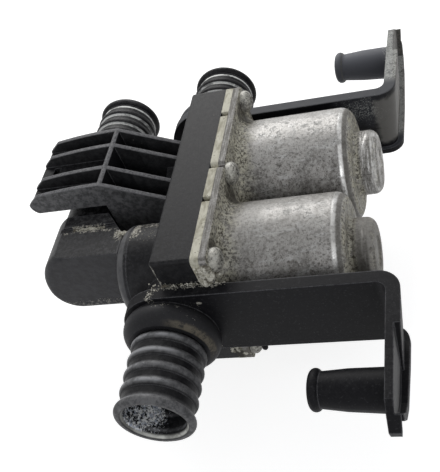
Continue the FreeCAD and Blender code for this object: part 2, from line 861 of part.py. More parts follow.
rubber_mount(
    -1, end_plate_front_x, end_plate_splay_front, peg_out_front, peg_turn_front, nose_front, "front"
)
rubber_mount(
    1, end_plate_rear_x, end_plate_splay_rear, peg_out_rear, peg_turn_rear, nose_rear, "rear"
)

# Socket housing seated between the undersides of the two cans
socket_end = socket_start + socket_length
housing = box(socket_start, socket_end, -socket_half_width, socket_half_width, socket_base_z, -6)
shroud = box(shroud_x0, shroud_x1, -shroud_half_width, shroud_half_width, shroud_bottom, socket_base_z + 0.5)
posts = []
for edge in shroud.Edges:
    if edge.BoundBox.ZLength > 1:
        posts.append(edge)
shroud = shroud.makeFillet(2.0, posts)
housing = housing.fuse(shroud)
for y in (-axis_y, axis_y):
    housing = housing.cut(rod_x(0, beyond, y, 0, can_r + socket_gap))
    inner = -1 if y > 0 else 1
    tab_y = y + inner * tab_offset
    half = tab_width / 2.0 + socket_gap
    tab_end = tab_start + tab_length + socket_gap
    pocket = box(tab_start - socket_gap, tab_end, tab_y - half, tab_y + half, -tab_drop - socket_gap, 0)
    housing = housing.cut(pocket)
inside_x0 = shroud_x0 + shroud_wall
inside_x1 = shroud_x1 - shroud_wall
inside_y = shroud_half_width - shroud_wall
housing = housing.cut(box(inside_x0, inside_x1, -inside_y, inside_y, shroud_bottom - 1, shroud_floor))
pins = []
for i in (-1, 0, 1):
    pin_y = i * pin_pitch
    half = pin_size / 2.0
    hole = half + pin_gap
    pin_top = shroud_floor + 1.2
    pin_end = pin_top - pin_length
    pins.append(box(pin_x - half, pin_x + half, pin_y - half, pin_y + half, pin_end, pin_top))
    sleeve = box(pin_x - hole, pin_x + hole, pin_y - hole, pin_y + hole, pin_end, pin_top + pin_gap)
    housing = housing.cut(sleeve)
save(housing.removeSplitter(), "socket_housing")
save(Part.makeCompound(pins), "terminal_pins")
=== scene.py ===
import math

import bmesh
import bpy
from mathutils import Matrix, Vector


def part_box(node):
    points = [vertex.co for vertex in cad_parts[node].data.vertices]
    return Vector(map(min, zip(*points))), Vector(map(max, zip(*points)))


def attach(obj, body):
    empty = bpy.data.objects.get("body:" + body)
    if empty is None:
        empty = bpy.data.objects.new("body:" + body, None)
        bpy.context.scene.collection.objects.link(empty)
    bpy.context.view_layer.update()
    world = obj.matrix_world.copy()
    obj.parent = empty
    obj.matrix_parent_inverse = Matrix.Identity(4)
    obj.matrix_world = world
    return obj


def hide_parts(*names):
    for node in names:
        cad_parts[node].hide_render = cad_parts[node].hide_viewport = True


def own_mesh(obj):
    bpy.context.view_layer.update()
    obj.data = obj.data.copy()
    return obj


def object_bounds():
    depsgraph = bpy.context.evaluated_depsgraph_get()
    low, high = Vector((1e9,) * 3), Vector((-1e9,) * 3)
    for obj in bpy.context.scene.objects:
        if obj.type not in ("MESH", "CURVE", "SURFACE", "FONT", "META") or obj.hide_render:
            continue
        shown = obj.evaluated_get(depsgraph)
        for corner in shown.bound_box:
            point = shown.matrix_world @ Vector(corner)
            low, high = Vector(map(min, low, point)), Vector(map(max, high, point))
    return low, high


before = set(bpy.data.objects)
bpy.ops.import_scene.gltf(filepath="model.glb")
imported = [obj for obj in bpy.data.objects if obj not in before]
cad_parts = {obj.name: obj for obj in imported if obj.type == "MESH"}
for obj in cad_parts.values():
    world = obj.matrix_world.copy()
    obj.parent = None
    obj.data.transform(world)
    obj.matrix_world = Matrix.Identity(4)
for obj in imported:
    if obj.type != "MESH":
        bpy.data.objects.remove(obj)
cad_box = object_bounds()
scene = bpy.context.scene
scene.view_settings.view_transform = "Standard"

# The camera stands near the inlet nozzle, above the closed ends of the
# solenoids, and looks down at the ribbed foot. Its lens fits the frame of
# 440 by 472 pixels.
def add_object(name, data):
    made = bpy.data.objects.new(name, data)
    scene.collection.objects.link(made)
    return made


picture_height = 472.0
focal_length_in_pixels = 784.57
camera_data = bpy.data.cameras.new("camera")
camera_data.sensor_fit = "VERTICAL"
camera_data.sensor_height = 24.0
camera_data.lens = focal_length_in_pixels * camera_data.sensor_height / picture_height
camera_data.clip_start = 0.01
camera = add_object("camera", camera_data)
look = Vector((-0.32366, 0.64382, -0.69335)).normalized()
right = look.cross(Vector((0.09653, 0.75144, 0.65270))).normalized()
up = right.cross(look)
turn = Matrix((right, up, -look)).transposed().to_4x4()
camera.matrix_world = Matrix.Translation((0.08284, -0.15470, 0.16011)) @ turn
scene.camera = camera


# A plain pale table below the socket, one large soft lamp overhead, behind the
# foot, and a faint one in front, in an even pale room. Camera, mirror and
# glass rays see plain white.
def join(socket, value):
    if isinstance(value, bpy.types.NodeSocket):
        socket.id_data.links.new(value, socket)
    else:
        socket.default_value = value


def fill(sockets, **values):
    for key, value in values.items():
        join(sockets[key.replace("_", " ")], value)


def put(tree, kind, settings=None, **sockets):
    made = tree.nodes.new(kind)
    for key, value in (settings or {}).items():
        setattr(made, key, value)
    fill(made.inputs, **sockets)
    return made


def calculate(kind, operation, values):
    # A math node in the tree that the first socket among its values is in
    tree = next(value.id_data for value in values if isinstance(value, bpy.types.NodeSocket))
    made = put(tree, kind, {"operation": operation})
    for socket, value in zip(made.inputs, values):
        join(socket, value)
    return made.outputs


def sums(operation, *values):
    return calculate("ShaderNodeMath", operation, values)[0]


def white_where_seen(tree, strength):
    ray = put(tree, "ShaderNodeLightPath").outputs
    seen = sums("MAXIMUM", ray["Is Camera Ray"], ray["Is Glossy Ray"])
    seen = sums("MAXIMUM", seen, ray["Is Transmission Ray"])
    return sums("MULTIPLY", seen, strength)


world = bpy.data.worlds.new("pale_room")
scene.world = world
world.use_nodes = True
room = world.node_tree
room.nodes.clear()
room_light = put(room, "ShaderNodeBackground", Color=(0.97, 0.98, 1.0, 1.0), Strength=0.36)
room_seen = put(room, "ShaderNodeBackground", Color=(1.0, 1.0, 1.0, 1.0))
room_mix = put(room, "ShaderNodeMixShader")
join(room_mix.inputs[0], white_where_seen(room, 1.0))
join(room_mix.inputs[1], room_light.outputs[0])
join(room_mix.inputs[2], room_seen.outputs[0])
put(room, "ShaderNodeOutputWorld", Surface=room_mix.outputs[0])


def lamp(name, place, size, watts, colour):
    data = bpy.data.lights.new(name, "AREA")
    data.shape = "DISK"
    data.size = size
    data.energy = watts
    data.color = colour
    lamp_object = add_object(name, data)
    lamp_object.location = place
    aim = Vector((0.0, 0.0, 0.0)) - Vector(place)
    lamp_object.rotation_euler = aim.to_track_quat("-Z", "Y").to_euler()


lamp("overhead_lamp", (-0.16, 0.54, 0.38), 0.50, 3.3, (1.0, 0.99, 0.97))
lamp("front_lamp", (0.24, -0.58, 0.30), 0.35, 0.8, (0.96, 0.98, 1.0))

table_half = 1.6
table_gap = 0.0005
table_z = cad_box[0][2] - table_gap
table_corners = [(-table_half, -table_half), (table_half, -table_half)]
table_corners += [(table_half, table_half), (-table_half, table_half)]
table_mesh = bpy.data.meshes.new("table_top")
table_mesh.from_pydata([(x, y, table_z) for x, y in table_corners], [], [(0, 1, 2, 3)])
table_top = add_object("table_top", table_mesh)
table_paint = bpy.data.materials.new("table_paint")
table_paint.use_nodes = True
table_tree = table_paint.node_tree
fill(
    table_tree.nodes["Principled BSDF"].inputs,
    Base_Color=(0.62, 0.62, 0.62, 1.0),
    Roughness=0.9,
    Specular_IOR_Level=0.1,
    Emission_Color=(1.0, 1.0, 1.0, 1.0),
    Emission_Strength=white_where_seen(table_tree, 0.78),
)
table_mesh.materials.append(table_paint)


# Valve body: one moulding of black glass-filled nylon with the block, the
# ribbed foot, the inlet and the rear outlet. Its skin has a fine grain, and
# dust and lime from the coolant have settled on it.
def vectors(operation, *values):
    made = calculate("ShaderNodeVectorMath", operation, values)
    return made["Value" if operation in ("LENGTH", "DOT_PRODUCT") else "Vector"]


def most(mask, *others):
    for other in others:
        mask = sums("MAXIMUM", mask, other)
    return mask


def product(mask, *others):
    for other in others:
        mask = sums("MULTIPLY", mask, other)
    return mask


def ramp(value, low, high, start=0.0, end=1.0):
    made = put(value.id_data, "ShaderNodeMapRange", {"interpolation_type": "SMOOTHSTEP"}, Value=value)
    fill(made.inputs, From_Min=low, From_Max=high, To_Min=start, To_Max=end)
    return made.outputs[0]


def layer(below, above, cover):
    made = put(cover.id_data, "ShaderNodeMix", {"data_type": "RGBA"})
    for index, value in ((0, cover), (6, below), (7, above)):
        join(made.inputs[index], value)
    return made.outputs[2]


def blend_value(below, above, cover):
    made = put(cover.id_data, "ShaderNodeMix")
    for index, value in ((0, cover), (2, below), (3, above)):
        join(made.inputs[index], value)
    return made.outputs[0]


def noise(place, scale, detail=3.0, roughness=0.55, warp=0.0):
    made = put(place.id_data, "ShaderNodeTexNoise", Vector=place, Scale=scale, Detail=detail)
    fill(made.inputs, Roughness=roughness, Distortion=warp)
    return made.outputs["Fac"]


def raised(height, strength, depth, **normal):
    made = put(height.id_data, "ShaderNodeBump", Strength=strength, Distance=depth, Height=height, **normal)
    return made.outputs[0]


def axes(vector):
    return put(vector.id_data, "ShaderNodeSeparateXYZ", Vector=vector).outputs


def node_group(name, inputs, outputs, kind="ShaderNodeTree"):
    group = bpy.data.node_groups.new(name, kind)
    for socket_name, value_kind, *value in inputs:
        socket = group.interface.new_socket(
            socket_name, in_out="INPUT", socket_type="NodeSocket" + value_kind
        )
        if value:
            socket.default_value = value[0]
    for socket_name, value_kind in outputs:
        group.interface.new_socket(socket_name, in_out="OUTPUT", socket_type="NodeSocket" + value_kind)
    return group, put(group, "NodeGroupInput").outputs, put(group, "NodeGroupOutput").inputs


def use(group, **sockets):
    return put(sockets["Place"].id_data, "ShaderNodeGroup", {"node_tree": group}, **sockets).outputs


# Where dirt lies: a box with ragged edges, given by its centre and half size
zone, given, result = node_group(
    "dirt_zone",
    [
        ("Place", "Vector"),
        ("Centre", "Vector", (0.0, 0.0, 0.0)),
        ("Half", "Vector", (0.01, 0.01, 0.01)),
        ("Soft", "Float", 0.003),
        ("Ragged", "Float", 0.003),
    ],
    [("Mask", "Float")],
)
from_centre = vectors("ABSOLUTE", vectors("SUBTRACT", given["Place"], given["Centre"]))
outside = vectors("MAXIMUM", vectors("SUBTRACT", from_centre, given["Half"]), (0.0, 0.0, 0.0))
uneven = sums("SUBTRACT", noise(given["Place"], 420.0, 4.0, 0.6), 0.5)
uneven = product(uneven, given["Ragged"], 3.0)
inside = sums("DIVIDE", sums("ADD", vectors("LENGTH", outside), uneven), given["Soft"])
join(result["Mask"], ramp(inside, 0.0, 1.0, 1.0, 0.0))

# Small hard specks of lime
specks, given, result = node_group(
    "lime_specks",
    [
        ("Place", "Vector"),
        ("Scale", "Float", 900.0),
        ("Amount", "Float", 0.2),
        ("Size", "Float", 0.35),
    ],
    [("Mask", "Float")],
)
cells = put(
    specks, "ShaderNodeTexVoronoi", Vector=given["Place"], Scale=given["Scale"], Randomness=1.0
).outputs
tone = put(specks, "ShaderNodeSeparateColor", Color=cells["Color"]).outputs[0]
chosen = sums("LESS_THAN", tone, given["Amount"])
edge = sums("SUBTRACT", given["Size"], cells["Distance"])
join(result["Mask"], product(chosen, ramp(product(edge, 6.0), 0.0, 1.0)))

# Ragged crust that thickens toward the middle of a dirty zone
crust_group, given, result = node_group(
    "lime_crust",
    [("Place", "Vector"), ("Zone", "Float", 0.0), ("Scale", "Float", 1500.0)],
    [("Mask", "Float")],
)
bar = sums("SUBTRACT", 0.72, product(given["Zone"], 0.30))
above = sums("SUBTRACT", noise(given["Place"], given["Scale"], 5.0, 0.75), bar)
join(result["Mask"], product(ramp(above, 0.0, 0.05), ramp(given["Zone"], 0.0, 0.10)))


def normal_of(tree):
    return put(tree, "ShaderNodeNewGeometry").outputs["Normal"]


# Moulded skin: colour drifts, short pale fibres, dust on what faces up, and
# rounded edges painted pale, partly rubbed wear and partly a painted highlight
skin, given, result = node_group(
    "moulded_skin",
    [
        ("Place", "Vector"),
        ("Colour", "Color", (0.008, 0.008, 0.0095, 1.0)),
        ("Dust", "Float", 0.2),
        ("Grain", "Float", 0.25),
    ],
    [("Colour", "Color"), ("Roughness", "Float"), ("Normal", "Vector")],
)
drift = noise(given["Place"], 70.0, 4.0, 0.6)
fine = noise(given["Place"], 1700.0, 3.0, 0.75)
scuff = noise(given["Place"], 760.0, 5.0, 0.75, 0.3)
tone = layer(given["Colour"], (0.0, 0.0, 0.0, 1.0), ramp(drift, 0.35, 0.75, 0.0, 0.3))
tone = layer(tone, (0.075, 0.075, 0.08, 1.0), product(ramp(fine, 0.57, 0.70), 0.34))
upward = ramp(axes(normal_of(skin))["Z"], 0.25, 1.0, 0.15, 1.0)
patchy = product(ramp(scuff, 0.42, 0.64), ramp(drift, 0.30, 0.70, 0.45, 1.0))
settled = product(upward, patchy, given["Dust"])
tone = layer(tone, (0.17, 0.17, 0.175, 1.0), settled)
soft_edge = put(skin, "ShaderNodeBevel", {"samples": 6}, Radius=0.0005).outputs[0]
on_edge = ramp(vectors("DOT_PRODUCT", soft_edge, normal_of(skin)), 0.990, 0.89)
# Edges painted pale grey: partly rubbed wear, partly a painted edge highlight
rubbed_and_highlit_edges = product(on_edge, ramp(scuff, 0.35, 0.60, 0.35, 0.85))
join(result["Colour"], layer(tone, (0.15, 0.15, 0.16, 1.0), rubbed_and_highlit_edges))
rough = sums("ADD", 0.32, product(scuff, 0.28))
join(result["Roughness"], sums("ADD", rough, product(settled, 0.35)))
height = sums("ADD", product(fine, 0.5), scuff)
join(result["Normal"], raised(height, given["Grain"], 0.0002, Normal=soft_edge))


def new_material(name):
    material = bpy.data.materials.new(name)
    material.use_nodes = True
    tree = material.node_tree
    tree.nodes.clear()
    shader = put(tree, "ShaderNodeBsdfPrincipled")
    put(tree, "ShaderNodeOutputMaterial", Surface=shader.outputs[0])
    return material, shader.inputs, put(tree, "ShaderNodeTexCoord").outputs["Object"]


def dress(material, *names):
    for name in names:
        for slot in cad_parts[name].material_slots:
            slot.material = material


def dirty_place(place, centre, half_size, soft, ragged, strength=1.0):
    found = use(zone, Place=place, Centre=centre, Half=half_size, Soft=soft, Ragged=ragged)
    return product(found["Mask"], strength)


def dirty_places(place, *spots):
    # Each spot: centre, half size, softness, raggedness and, if less than 1, strength
    return most(*[dirty_place(place, *spot) for spot in spots])


def lime_coat(place, zone_mask, scale=1500.0):
    return use(crust_group, Place=place, Zone=zone_mask, Scale=scale)["Mask"]


def from_line(place, keep, shift=(0.0, 0.0, 0.0)):
    # Distance from a line along the axis whose factor in keep is zero
    return vectors("LENGTH", vectors("MULTIPLY_ADD", place, keep, shift))


# Grains of lime, from brown grey to nearly white
lime_grain, given, result = node_group("lime_grain", [("Place", "Vector")], [("Colour", "Color")])
grain = ramp(noise(given["Place"], 2100.0, 4.0, 0.75), 0.40, 0.60)
join(result["Colour"], layer((0.20, 0.19, 0.155, 1.0), (0.64, 0.62, 0.56, 1.0), grain))

# White lines where the rings of a hose nozzle meet its tube
half_ring_pitch = 0.0022
ring_lime, given, result = node_group(
    "ring_lime",
    [
        ("Place", "Vector"),
        ("Away", "Float", 0.0),
        ("First Foot", "Float", 0.0),
        ("Low", "Float", 0.0),
        ("High", "Float", 0.0),
    ],
    [("Mask", "Float")],
)
along = axes(given["Place"])["Y"]
step = sums("PINGPONG", sums("SUBTRACT", along, given["First Foot"]), half_ring_pitch)
uneven = product(noise(given["Place"], 600.0, 4.0, 0.7), 0.0005)
line = ramp(sums("ADD", step, uneven), 0.00070, 0.00048)
above_low = ramp(sums("SUBTRACT", along, given["Low"]), -0.001, 0.0)
below_high = ramp(sums("SUBTRACT", given["High"], along), 0.0, 0.001)
broken = ramp(noise(given["Place"], 240.0, 3.0), 0.36, 0.50, 0.35, 1.0)
at_foot = product(ramp(given["Away"], 0.0100, 0.0098), ramp(given["Away"], 0.0089, 0.0091))
join(result["Mask"], product(line, above_low, below_high, at_foot, broken))

# Painted highlight: ring crests painted pale along their tops, on the side turned to the lamp
painted_crest_highlight, given, result = node_group(
    "painted_crest_highlight",
    [("Place", "Vector"), ("Facing", "Vector"), ("First Crest", "Float", 0.0)],
    [("Mask", "Float")],
)
lit_side = vectors("DOT_PRODUCT", given["Facing"], (-0.30, -0.06, 0.95))
along = sums("SUBTRACT", axes(given["Place"])["Y"], given["First Crest"])
line = ramp(sums("PINGPONG", along, half_ring_pitch), 0.00085, 0.00010)
lit_crest_top = ramp(lit_side, 0.30, 0.90)
patchy = ramp(noise(given["Place"], 190.0, 4.0, 0.7), 0.40, 0.58, 0.20, 1.0)
join(result["Mask"], product(line, lit_crest_top, patchy))

# Dust caught on chosen faces of a moulding
face_dust, given, result = node_group(
    "face_dust",
    [
        ("Place", "Vector"),
        ("Below", "Color", (0.01, 0.01, 0.01, 1.0)),
        ("Dust Colour", "Color", (0.1, 0.1, 0.1, 1.0)),
        ("Faces", "Float", 0.0),
    ],
    [("Colour", "Color")],
)
dust_grain = ramp(noise(given["Place"], 520.0, 6.0, 0.75), 0.38, 0.62, 0.35, 1.0)
dusty_faces = product(given["Faces"], dust_grain)
join(result["Colour"], layer(given["Below"], given["Dust Colour"], dusty_faces))

black_plastic, finish, place = new_material("black_plastic")
finish["Specular IOR Level"].default_value = 0.11
moulded = use(skin, Place=place, Dust=0.17, Grain=0.25)
side = axes(place)
facing = normal_of(place.id_data)
turned = axes(facing)
zones = dirty_places(
    place,
    # Down the block's near edge and at its foot
    ((0.0001, -0.0343, 0.0150), (0.0002, 0.0002, 0.0060), 0.0010, 0.0006),
    ((-0.0016, -0.0345, 0.0115), (0.0010, 0.0010, 0.0030), 0.0026, 0.0014, 0.72),
    # Along the front mount's arm
    ((0.0060, -0.0343, 0.0132), (0.0070, 0.0004, 0.0004), 0.0012, 0.0010, 0.75),
    # At the weld, the foot's root and on top of the front housing
    ((-0.0130, -0.0125, 0.0128), (0.0012, 0.0022, 0.0020), 0.0030, 0.0016),
    ((-0.0075, -0.0105, 0.0120), (0.0062, 0.0010, 0.0010), 0.0020, 0.0016, 0.72),
    ((-0.0080, -0.0145, 0.0136), (0.0050, 0.0026, 0.0010), 0.0026, 0.0012, 0.50),
)
from_bore = from_line(place, (1.0, 0.0, 1.0))
in_mouth = product(ramp(side["Y"], -0.045, -0.058), ramp(from_bore, 0.0086, 0.0083))
bore_side = ramp(sums("ADD", side["X"], product(side["Z"], 0.4)), -0.0010, -0.0066)
bore_zone = product(in_mouth, bore_side, ramp(noise(place, 210.0, 3.0), 0.36, 0.56, 0.55, 1.0))
bore_lime = lime_coat(place, bore_zone, 1700.0)
rim_band = product(
    ramp(from_bore, 0.00885, 0.00860),
    ramp(from_bore, 0.00795, 0.00815),
    ramp(side["Y"], -0.0654, -0.0660),
)
rim_low = ramp(sums("SUBTRACT", side["Z"], side["X"]), 0.0090, -0.0090, 0.30, 1.0)
rim_lime = product(rim_band, rim_low, ramp(noise(place, 330.0, 4.0), 0.34, 0.56, 0.45, 1.0))
ring_foot = use(
    ring_lime, Place=place, Away=from_bore, First_Foot=0.0559, Low=0.0440, High=0.0630
)["Mask"]
stray = use(specks, Place=place, Scale=440.0, Amount=0.05, Size=0.14)["Mask"]
lime = most(lime_coat(place, zones), product(stray, 0.45))
left_floor = ramp(side["X"], -0.0236, -0.0244)
crest_from = blend_value(0.0085, 0.0161, left_floor)
on_crest = product(
    ramp(sums("SUBTRACT", side["Z"], crest_from), 0.0, 0.0006),
    ramp(side["X"], -0.0008, -0.0016),
    ramp(side["Y"], -0.0010, -0.0004),
    ramp(side["Y"], 0.0270, 0.0260),
)
coarse = noise(place, 1300.0, 4.0, 0.75)
rib_top = product(on_crest, ramp(turned["Z"], 0.55, 0.8), ramp(coarse, 0.36, 0.60, 0.30, 0.85))
foot_face = product(
    ramp(side["X"], -0.0008, -0.0016),
    ramp(side["Y"], -0.0012, -0.0006),
    ramp(side["Y"], 0.0270, 0.0260),
    ramp(side["Y"], 0.0044, 0.0036, 0.20, 1.0),
    ramp(turned["Y"], -0.4, -0.7),
    ramp(side["X"], -0.0120, -0.0300, 0.62, 1.0),
)
lip = product(ramp(side["Y"], -0.0630, -0.0642), ramp(from_bore, 0.0088, 0.0092))
ringed = ramp(side["Y"], -0.0435, -0.0445)
on_ring = ramp(from_bore, 0.0097, 0.0101)
inlet_dust = product(ringed, on_ring, ramp(turned["Z"], -0.8, 0.4), 0.85)
tube_wall = product(ramp(from_bore, 0.0099, 0.0096), ramp(from_bore, 0.0089, 0.0090))
shade_between_rings = product(ringed, tube_wall, 0.35)
block_near = product(
    ramp(turned["Y"], -0.4, -0.9),
    ramp(side["X"], -0.0170, -0.0165),
    ramp(side["X"], 0.0002, -0.0004, 0.09, 0.24),
)
dusty_faces = most(foot_face, lip, inlet_dust, block_near)
# The tube wall between the inlet's rings is painted near black: painted shade in the grooves
coat = layer(moulded["Colour"], (0.003, 0.003, 0.004, 1.0), shade_between_rings)
coat = use(
    face_dust, Place=place, Below=coat, Dust_Colour=(0.165, 0.165, 0.17, 1.0), Faces=dusty_faces
)["Colour"]
# Rib tops painted pale grey on their upward faces: a painted highlight, broken by grain
coat = layer(coat, (0.17, 0.17, 0.18, 1.0), rib_top)
crest_highlight = use(painted_crest_highlight, Place=place, Facing=facing, First_Crest=-0.0601)["Mask"]
# Pale grey on the inlet's ring crests is a painted highlight
coat = layer(coat, (0.36, 0.365, 0.38, 1.0), product(crest_highlight, ringed, 0.9))
coat = layer(coat, use(lime_grain, Place=place)["Colour"], product(lime, 0.9))
coat = layer(coat, (0.95, 0.96, 0.94, 1.0), ring_foot)
coat = layer(coat, (0.95, 0.95, 0.90, 1.0), product(rim_lime, 0.9))
crystals = ramp(noise(place, 1100.0, 3.0, 0.7), 0.42, 0.58)
crystal_colour = layer((0.42, 0.46, 0.54, 1.0), (1.0, 1.0, 1.0, 1.0), crystals)
coat = layer(coat, crystal_colour, bore_lime)
all_lime = most(lime, rim_lime, bore_lime)
fill(
    finish,
    Base_Color=coat,
    Roughness=blend_value(moulded["Roughness"], 0.60, all_lime),
    Normal=raised(all_lime, 0.5, 0.0004, Normal=moulded["Normal"]),
)
dress(black_plastic, "valve_body")

# Outlet elbow: a second black moulding, welded to the front housing, that
# turns the flow back under the foot to the side outlet nozzle.
elbow_plastic, finish, place = new_material("elbow_plastic")
finish["Specular IOR Level"].default_value = 0.15
moulded = use(skin, Place=place, Dust=0.42, Grain=0.25)
side = axes(place)
facing = normal_of(place.id_data)
zones = dirty_places(
    place,
    # In the groove on top and along its edge
    ((-0.0295, -0.0086, 0.0115), (0.0050, 0.0006, 0.0006), 0.0018, 0.0016),
    ((-0.0270, -0.0098, 0.0119), (0.0100, 0.0002, 0.0003), 0.0007, 0.0012, 0.8),
    # In the corner beside the weld, and along the bottom
    ((-0.0180, -0.0118, 0.0121), (0.0012, 0.0012, 0.0012), 0.0026, 0.0016),
    ((-0.0320, -0.0198, -0.0102), (0.0120, 0.0010, 0.0010), 0.0026, 0.0018, 0.62),
)
nozzle_x = -0.0353
from_nozzle = from_line(place, (1.0, 0.0, 1.0), (-nozzle_x, 0.0, 0.0))
ring_foot = use(
    ring_lime, Place=place, Away=from_nozzle, First_Foot=0.0472, Low=0.0350, High=0.0540
)["Mask"]
lime = lime_coat(place, zones)
solenoid_y = 0.0174
from_weld = from_line(place, (0.0, 1.0, 1.0), (0.0, solenoid_y, 0.0))
weld_band = product(
    ramp(from_weld, 0.0098, 0.0102),
    ramp(side["X"], -0.0176, -0.0170),
    ramp(side["X"], -0.0137, -0.0142),
    ramp(noise(place, 300.0, 3.0), 0.30, 0.60, 0.55, 1.0),
)
near_face = product(ramp(axes(facing)["Y"], -0.3, -0.8), ramp(side["Y"], -0.012, -0.014), 0.34)
coat = use(
    face_dust,
    Place=place,
    Below=moulded["Colour"],
    Dust_Colour=(0.095, 0.095, 0.105, 1.0),
    Faces=near_face,
)["Colour"]
coat = layer(coat, (0.15, 0.15, 0.155, 1.0), product(weld_band, 0.75))
ringed = ramp(side["Y"], 0.0355, 0.0365)
crest_highlight = use(painted_crest_highlight, Place=place, Facing=facing, First_Crest=0.0494)["Mask"]
# Pale grey on the side outlet's ring crests is a painted highlight
coat = layer(coat, (0.20, 0.20, 0.21, 1.0), product(crest_highlight, ringed, 0.25))
coat = layer(coat, (0.95, 0.96, 0.94, 1.0), ring_foot)
coat = layer(coat, use(lime_grain, Place=place)["Colour"], product(lime, 0.9))
fill(
    finish,
    Base_Color=coat,
    Roughness=blend_value(moulded["Roughness"], 0.85, lime),
    Normal=raised(lime, 0.4, 0.0003, Normal=moulded["Normal"]),
)
dress(elbow_plastic, "outlet_elbow")


# Yoke plates: two zinc-plated steel plates against the block. Their edges
# have turned to a cream chalk of white rust with fine cracks across it.
def stretched(place, *scale):
    return put(place.id_data, "ShaderNodeMapping", Vector=place, Scale=scale).outputs[0]


yoke_steel, finish, place = new_material("yoke_steel")
chalk = noise(stretched(place, 1.0, 0.35, 1.0), 520.0, 5.0, 0.65, 0.6)
broad = noise(place, 90.0, 4.0, 0.6)
chalk_colour = layer((0.38, 0.36, 0.28, 1.0), (0.64, 0.62, 0.52, 1.0), ramp(chalk, 0.38, 0.62))
stain_and_shade = layer(chalk_colour, (0.16, 0.14, 0.085, 1.0), ramp(broad, 0.52, 0.70, 0.0, 0.8))
pits = use(specks, Place=place, Scale=1500.0, Amount=0.16, Size=0.35)["Mask"]
# Painted shade: the low near corner is painted near black
low_corner = dirty_place(place, (0.0130, -0.0340, -0.0185), (0.0014, 0.0010, 0.0016), 0.0016, 0.0022)
stain_and_shade = layer(stain_and_shade, (0.012, 0.010, 0.007, 1.0), low_corner)
rise = sums("SUBTRACT", chalk, product(pits, 0.6))
soft_edge = put(place.id_data, "ShaderNodeBevel", {"samples": 6}, Radius=0.0003).outputs[0]
fill(
    finish,
    Base_Color=layer(stain_and_shade, (0.12, 0.10, 0.07, 1.0), product(pits, 0.7)),
    Roughness=0.82,
    Normal=raised(rise, 0.45, 0.0003, Normal=soft_edge),
)
dress(yoke_steel, "yoke_plate_front", "yoke_plate_rear")

# Solenoid cans: drawn steel with a dull zinc plating, each in one piece with
# its flange. They are mottled with grey and white oxide, and brown dirt has
# gathered at the flange, round the end and on the boss.
# Besides oxide and dirt, this group paints light and shade: paler tops, darker lower sides, a painted
# highlight and painted shade
oxide, given, result = node_group(
    "zinc_oxide",
    [
        ("Place", "Vector"),
        ("Metal", "Color", (0.31, 0.30, 0.29, 1.0)),
        ("Dirt", "Float", 0.0),
        ("Shine", "Float", 0.0),
        ("Shade", "Float", 0.0),
    ],
    [("Colour", "Color"), ("Roughness", "Float"), ("Metallic", "Float"), ("Normal", "Vector")],
)
cloud = noise(given["Place"], 95.0, 5.0, 0.66, 0.8)
mottle = noise(given["Place"], 420.0, 6.0, 0.78, 0.6)
salt = noise(given["Place"], 1250.0, 4.0, 0.8)
tone = layer(given["Metal"], (0.15, 0.145, 0.14, 1.0), ramp(cloud, 0.44, 0.66, 0.0, 0.75))
streak = noise(stretched(given["Place"], 0.45, 1.5, 1.5), 330.0, 5.0, 0.7, 0.4)
tone = layer(tone, (0.52, 0.525, 0.53, 1.0), ramp(streak, 0.54, 0.66, 0.0, 0.6))
pale = product(ramp(mottle, 0.52, 0.60), 0.62)
tone = layer(tone, (0.50, 0.495, 0.47, 1.0), pale)
dark = product(ramp(mottle, 0.47, 0.38), 0.62)
tone = layer(tone, (0.07, 0.065, 0.055, 1.0), dark)
grains = ramp(salt, 0.55, 0.64)
tone = layer(tone, (0.66, 0.655, 0.63, 1.0), product(grains, 0.50))
tone = layer(tone, (0.040, 0.037, 0.032, 1.0), ramp(salt, 0.48, 0.38, 0.0, 0.85))
pitted = use(specks, Place=given["Place"], Scale=1900.0, Amount=0.30, Size=0.42)["Mask"]
tone = layer(tone, (0.055, 0.050, 0.042, 1.0), product(pitted, 0.65))
turned_up = axes(normal_of(oxide))["Z"]
# Tops painted paler and lower sides darker: painted light and painted shade
tone = layer(tone, (0.70, 0.695, 0.68, 1.0), ramp(turned_up, 0.70, 0.98, 0.0, 0.12))
tone = layer(tone, (0.12, 0.112, 0.105, 1.0), ramp(turned_up, 0.75, 0.0, 0.0, 0.34))
# Painted highlight from the Highlight input, then painted shade from the Shade input
tone = layer(tone, (0.66, 0.66, 0.65, 1.0), product(given["Shine"], 0.8))
tone = layer(tone, (0.085, 0.078, 0.065, 1.0), product(given["Shade"], 0.85))
brown_spread = product(given["Dirt"], ramp(mottle, 0.38, 0.56, 0.35, 1.0))
brown = layer((0.035, 0.028, 0.016, 1.0), (0.60, 0.575, 0.47, 1.0), ramp(salt, 0.40, 0.56))
tone = layer(tone, brown, brown_spread)
# Dirt lying in the painted shade is darkened further
dirt_in_painted_shade = product(given["Shade"], given["Dirt"], 0.85)
tone = layer(tone, (0.018, 0.014, 0.009, 1.0), dirt_in_painted_shade)
join(result["Colour"], tone)
cover = most(pale, brown_spread, product(grains, 0.5), product(given["Shade"], 0.7))
join(result["Metallic"], most(sums("SUBTRACT", 0.42, cover), product(given["Shine"], 0.7), 0.0))
rough = sums("ADD", 0.37, product(cover, 0.38))
rough = sums("SUBTRACT", rough, product(given["Shine"], 0.16))
join(result["Roughness"], sums("ADD", rough, product(cloud, 0.08)))
soft_edge = put(oxide, "ShaderNodeBevel", {"samples": 6}, Radius=0.0004).outputs[0]
height = sums("ADD", mottle, product(salt, 0.6))
join(result["Normal"], raised(height, 0.30, 0.0002, Normal=soft_edge))


